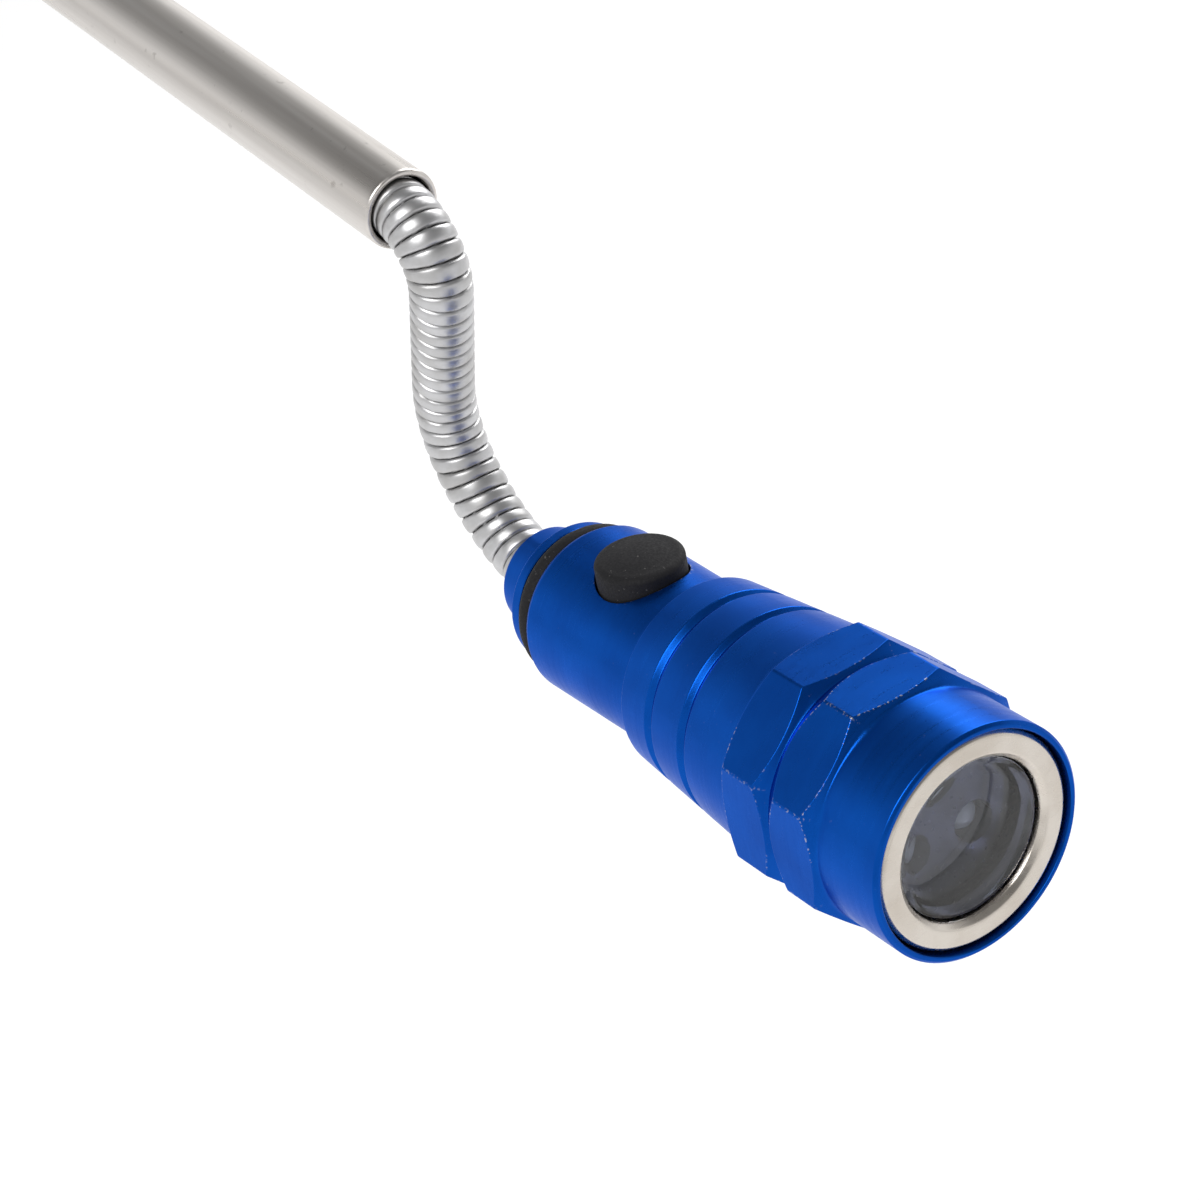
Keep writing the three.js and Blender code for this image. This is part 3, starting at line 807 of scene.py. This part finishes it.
def barrel():
    """The barrel as one grid of columns, with the button's hole let into it as a patch."""
    columns = barrel_columns()
    vertices = []
    wear_and_shade = []
    index_of = {}
    rows = 0
    grip_set = grip_rows()
    for c, angle in enumerate(columns):
        flat_radius = min(HALF_FLATS / math.cos(off_flat(angle)), CORNER_RADIUS - CORNER_ROUNDING)
        at_corner = abs(abs(off_flat(angle)) - math.pi / FLATS) < CORNER_REACH
        corner_wear = CORNER_WEAR if at_corner else 0.0
        profile = barrel_profile(flat_radius)
        rows = len(profile)
        for r, (x, radius, wear_and_shade_level) in enumerate(profile):
            on_flats = BANDS_REAR < x < BANDS_FRONT and radius > BANDS_FLOOR
            vertices.append((x, radius * math.sin(angle), radius * math.cos(angle)))
            wear_and_shade.append(max(wear_and_shade_level, corner_wear) if on_flats else wear_and_shade_level)
            index_of[c, r] = len(vertices) - 1
    from_top = [math.remainder(angle, 2 * math.pi) for angle in columns]
    near_top = [c for c in range(len(columns)) if abs(from_top[c]) < PATCH_ANGLE]
    near_top.sort(key=lambda c: from_top[c])
    profile = barrel_profile(HALF_FLATS)
    outer = [find_row(profile, x, grip_radius(x)) for x in grip_set]
    inner = [find_row(profile, x, BORE) for x in grip_set]
    faces = ring_faces(len(columns), rows, True)
    cut = set()
    for band in (outer, inner):
        for low, high in zip(band, band[1:]):
            first_row = min(low, high)
            for left, right in zip(near_top, near_top[1:]):
                cut.add((index_of[left, first_row], index_of[right, first_row]))
    faces = [face for face in faces if (face[0], face[3]) not in cut]
    outer_ring = hole_patch(vertices, wear_and_shade, faces, index_of, near_top, outer, grip_radius, rim=True)
    inner_ring = hole_patch(vertices, wear_and_shade, faces, index_of, near_top, inner, lambda x: BORE, rim=False)
    join_loops(faces, outer_ring, inner_ring)
    shell = finish_mesh("barrel_shell", vertices, faces, wear_and_shade, HEAD, BLUE)
    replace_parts(weighted(shell), "barrel")
    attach(shell, "barrel")


def find_row(profile, x, radius):
    """The number of the profile point nearest to the place given."""
    return min(range(len(profile)), key=lambda i: abs(profile[i][0] - x) + abs(profile[i][1] - radius))


def join_loops(faces, first, second):
    """Adds a closed band of faces between two loops with the same number of points."""
    count = len(first)
    for i in range(count):
        j = (i + 1) % count
        faces.append((first[i], first[j], second[j], second[i]))


def hole_patch(vertices, wear_and_shade, faces, index_of, near_top, band, radius_at, rim):
    """Fills the gap in the grid with rings that close in on the button's hole. Returns the last ring."""
    rear, front = band[0], band[-1]
    left, right = near_top[0], near_top[-1]
    loop = [index_of[column, rear] for column in near_top]
    loop += [index_of[right, row] for row in band[1:]]
    loop += [index_of[column, front] for column in reversed(near_top[:-1])]
    loop += [index_of[left, row] for row in reversed(band[1:-1])]
    flat = [(vertices[i][0] - HOLE_X, vertices[i][1]) for i in loop]
    # Each ring: its place from the hole (0) to the loop (1), and how much it is widened, worn and sunk.
    rings = [
        (0.75, 0, 0, 0), (0.5, 0, 0, 0), (0.3, 0, 0, 0), (0.15, 0, 0, 0),
        (0.05, 0.08, 0.3, 0), (0, 0.08, 1, 0),
    ]
    if rim:
        rings += [(0, 0.03, 1, 0.02), (0, 0, 1, 0.08), (0, 0, 0.3, 0.3)]
    last = loop
    for share, widening, wear_and_shade_level, sink in rings:
        ring = []
        for u, v in flat:
            reach = math.hypot(u, v)
            hole = HOLE_RADIUS + widening
            u_here = u * (hole / reach * (1 - share) + share)
            v_here = v * (hole / reach * (1 - share) + share)
            x = HOLE_X + u_here
            z = math.sqrt(radius_at(x) ** 2 - v_here ** 2) - sink
            vertices.append((x, v_here, z))
            wear_and_shade.append(wear_and_shade_level)
            ring.append(len(vertices) - 1)
        join_loops(faces, last, ring)
        last = ring
    return last


# ---------------------------------------------------------------- head: other pieces

def screw_cap():
    """Boss, flange and O-ring groove, then a neck with a real screw thread."""
    thread_rear, thread_front, pitch = 9.2, 12.5, 0.8
    root, crest = 6.3, 6.72
    runout = 0.3
    edge = 0.1
    sides = 128
    samples = 42
    front = [
        (0, 3.75, edge), (0, 4.5, 0.2), (0.35, 4.9, 0.2), (4.5, 5.4, edge),
        (4.55, 6.6, edge), (4.95, 7.0, edge), (6.1, 7.0, edge), (6.1, 5.3, edge),
        (8.6, 5.3, edge), (8.6, 6.5, edge), (thread_rear - 0.1, root, 0),
    ]
    back = [
        (thread_front + 0.1, root, 0), (12.9, 6.0, edge), (12.9, 5.3, edge), (9.4, 5.3, 0), (9.4, 0.01, 0),
    ]
    bore = [(5.1, 0.01, 0), (5.1, 3.65, 0), (1.1, 3.65, 0), (0.3, 3.7, 0)]
    vertices = []
    wear_and_shade = []
    rows = 0
    for k in range(sides):
        angle = 2 * math.pi * k / sides
        points = softened([*front, (thread_rear, root, 0)])[:-1]
        for i in range(samples + 1):
            x = thread_rear + (thread_front - thread_rear) * i / samples
            turn = (x - thread_rear) / pitch - angle / (2 * math.pi)
            ridge = 1 - abs(2 * (turn - math.floor(turn)) - 1)
            fade = min(1.0, (x - thread_rear) / runout, (thread_front - x) / runout)
            # The flanks are steepened, which leaves a flat root and a flat crest.
            height = min(1.0, max(0.0, 1.6 * ridge - 0.3)) * max(0.0, fade)
            points.append((x, root + (crest - root) * height, 0.6 * height))
        points += softened([*back, *bore, front[0]])[:-1]
        rows = len(points)
        for x, radius, wear_and_shade_level in points:
            vertices.append((x, radius * math.sin(angle), radius * math.cos(angle)))
            wear_and_shade.append(wear_and_shade_level)
    faces = ring_faces(sides, rows, True)
    cap = finish_mesh("rear_cap_turned", vertices, faces, wear_and_shade, HEAD, BLUE)
    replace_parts(weighted(cap), "rear_cap")
    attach(cap, "cap")


def sealing_ring():
    """The O-ring in the cap's groove."""
    centre, middle, section, steps = 7.35, 6.5, 1.1, 28
    outline = []
    for i in range(steps):
        turn = 2 * math.pi * i / steps
        outline.append((centre - section * math.cos(turn), middle + section * math.sin(turn), 0))
    ring = turned("o_ring_moulded", outline, HEAD, RUBBER, 96, closed=True, soft=False)
    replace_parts(ring, "o_ring")
    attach(ring, "cap")


def button():
    """Moulded rubber boot: upright side wall, rounded shoulder, and a top that is slightly crowned."""
    radius, side_top, crown = 4.12, 8.75, 9.75
    shoulder, shoulder_rise, steps = 0.85, 0.62, 10
    outline = [
        (3.5, 0, 0), (3.5, 1.4, 0.1), (5.8, 1.4, 0), (5.8, 3.65, 0), (3.5, 3.65, 0.1), (3.5, 4.6, 0.1),
        (4.3, 4.6, 0.1), (4.3, radius, 0), (side_top - 1.5, radius, 0),
    ]
    for i in range(steps + 1):
        turn = math.pi / 2 * i / steps
        reach = radius - shoulder + shoulder * math.cos(turn)
        outline.append((side_top + shoulder_rise * math.sin(turn), reach, 0))
    for share in (0.8, 0.6, 0.4, 0.2, 0):
        reach = (radius - shoulder) * share
        outline.append((crown - (crown - side_top - shoulder_rise) * share ** 2, reach, 0))
    upright = HEAD @ Matrix.Translation((HOLE_X * MM, 0, 0)) @ Matrix.Rotation(-math.pi / 2, 4, "Y")
    boot = turned("button_moulded", outline, upright, RUBBER, 96)
    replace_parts(boot, "button")
    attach(boot, "button")


def ring_magnet():
    """The plated ring in the mouth of the barrel."""
    rear, front, radius, bore = 56.3, 61.2, 9.65, 7.2
    ring = turned(
        "ring_magnet_plated",
        [
            (rear, bore, 0), (rear, radius, 0.1), (front - 0.4, radius, 0.15), (front, radius - 0.4, 0.15),
            (front, bore + 0.5, 0.12), (front - 0.5, bore, 0.12),
        ],
        HEAD, NICKEL, closed=True,
    )
    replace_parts(ring, "ring_magnet")
    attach(ring, "barrel")


def lens():
    """Stepped disc with a slightly crowned front and a bead round its edge."""
    crown_front, crown_sag, crown_radius = 60.8, 0.5, 6.6
    outline = [
        (54.5, 0, 0), (54.5, 9.5, 0.1), (56.0, 9.5, 0.1), (56.0, 7.05, 0.05),
        (60.3, 7.05, 0.15), (60.45, crown_radius, 0.1),
    ]
    for share in (0.92, 0.85, 0.7, 0.5, 0.3, 0.15, 0):
        outline.append((crown_front - crown_sag * share ** 2, crown_radius * share, 0))
    disc = turned("lens_moulded", outline, HEAD, LENS)
    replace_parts(disc, "lens")
    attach(disc, "barrel")


def lamps():
    """Domed LEDs, each with its metal cup inside, and the plate that holds them."""
    count, ring = 3, 3.4
    dome_base, dome_radius, dome_steps = 52.2, 1.5, 8
    for i in range(count):
        angle = 2 * math.pi * i / count + math.pi / 2
        place = HEAD @ Matrix.Translation((0, ring * math.cos(angle) * MM, ring * math.sin(angle) * MM))
        outline = [
            (47.6, 0, 0), (47.6, 1.7, 0.05), (48.5, 1.7, 0.05), (48.5, dome_radius, 0.05),
            (dome_base, dome_radius, 0),
        ]
        for step in range(1, dome_steps + 1):
            turn = math.pi / 2 * step / dome_steps
            outline.append((dome_base + dome_radius * math.sin(turn), dome_radius * math.cos(turn), 0))
        lamp = turned(f"led_{i + 1}_dome", outline, place, LED_RESIN, 48)
        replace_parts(lamp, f"led_{i + 1}")
        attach(lamp, "barrel")
        cup = turned(
            f"led_{i + 1}_cup",
            [
                (48.7, 0, 0), (48.7, 0.6, 0.05), (50.6, 1.05, 0.05),
                (50.6, 0.85, 0.05), (50.1, 0.35, 0), (50.1, 0, 0),
            ],
            place, SPRING_STEEL, 32,
        )
        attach(cup, "barrel")
    holder = frame["nodes"]["led_holder"].data
    # The holder takes the reflector with its painted shade.
    holder.materials[0] = REFLECTOR_PAINTED_SHADE


# ---------------------------------------------------------------- floor, lights and camera

def stage():
    """A wide pale floor under the tool, faintly lit from within so that it stays near white."""
    floor_depth = 0.16
    size = 6.0
    mesh = bpy.data.meshes.new("floor")
    corners = [(-size, -size), (size, -size), (size, size), (-size, size)]
    mesh.from_pydata([(x, y, -floor_depth) for x, y in corners], [], [(0, 1, 2, 3)])
    floor = bpy.data.objects.new("floor", mesh)
    bpy.context.scene.collection.objects.link(floor)
    recipe = Recipe("pale_floor")
    grain = recipe.noise(90, 3)
    recipe.set(
        base=recipe.blend(grain, (0.69, 0.69, 0.69), (0.71, 0.71, 0.71)),
        roughness=0.9,
        emission_color=(1.0, 1.0, 1.0),
        emission_strength=0.5,
    )
    mesh.materials.append(recipe.material)


def soft_light(name, place, target, size, power):
    """A round area light of the given diameter in metres, aimed at the target."""
    data = bpy.data.lights.new(name, "AREA")
    data.shape = "DISK"
    data.size = size
    data.energy = power
    light = bpy.data.objects.new(name, data)
    light.location = place
    light.rotation_euler = (Vector(target) - Vector(place)).to_track_quat("-Z", "Y").to_euler()
    bpy.context.scene.collection.objects.link(light)


def shade_backdrop(tree):
    """White as the camera sees it. What the metal sees is bright low down and grey overhead."""
    backdrop = tree.nodes["Background"]
    place = tree.nodes.new("ShaderNodeTexCoord")
    split = tree.nodes.new("ShaderNodeSeparateXYZ")
    height = tree.nodes.new("ShaderNodeMapRange")
    height.interpolation_type = "SMOOTHSTEP"
    path = tree.nodes.new("ShaderNodeLightPath")
    strength = tree.nodes.new("ShaderNodeMix")
    for key, number in (("From Min", 0.05), ("From Max", 0.65), ("To Min", 0.95), ("To Max", 0.22)):
        height.inputs[key].default_value = number
    tree.links.new(place.outputs["Generated"], split.inputs[0])
    tree.links.new(split.outputs[2], height.inputs["Value"])
    tree.links.new(path.outputs["Is Camera Ray"], strength.inputs[0])
    tree.links.new(height.outputs[0], strength.inputs[2])
    strength.inputs[3].default_value = 1.0
    backdrop.inputs["Color"].default_value = (1, 1, 1, 1)
    tree.links.new(strength.outputs[0], backdrop.inputs["Strength"])


def lights():
    """A key light over the camera's left shoulder and a wider one behind the tool."""
    head = HEAD @ Vector((0.035, 0, 0))
    soft_light("key", head + Vector((0.05, -0.30, 0.40)), head, 0.34, 1.5)
    soft_light("back", head + Vector((-0.25, 0.45, 0.25)), head, 0.4, 1.5)
    world = bpy.data.worlds.new("studio")
    world.use_nodes = True
    shade_backdrop(world.node_tree)
    bpy.context.scene.world = world
    bpy.context.scene.view_settings.view_transform = "Standard"


def camera():
    """Looks back along the tool from in front of the head and above it."""
    place = Vector((430.15, -106.75, 147.51)) * MM
    look = Vector((-0.64974, 0.389, -0.65308))
    right = Vector((0.5935, 0.79641, -0.1161))
    data = bpy.data.cameras.new("camera")
    data.lens = 90
    data.sensor_width = 36
    view = bpy.data.objects.new("camera", data)
    up = right.cross(look)
    turn = Matrix((right, up, -look)).transposed().to_4x4()
    view.matrix_world = Matrix.Translation(place) @ turn
    bpy.context.scene.collection.objects.link(view)
    bpy.context.scene.camera = view


# ---------------------------------------------------------------- assembly

dress_cad_nodes()
for number, carrier in ((4, "handle"), (3, "stage_3"), (2, "stage_2"), (1, "stage_1")):
    shaft_tube(number, carrier)
tail()
gooseneck()
barrel()
screw_cap()
sealing_ring()
button()
ring_magnet()
lens()
lamps()
stage()
lights()
camera()
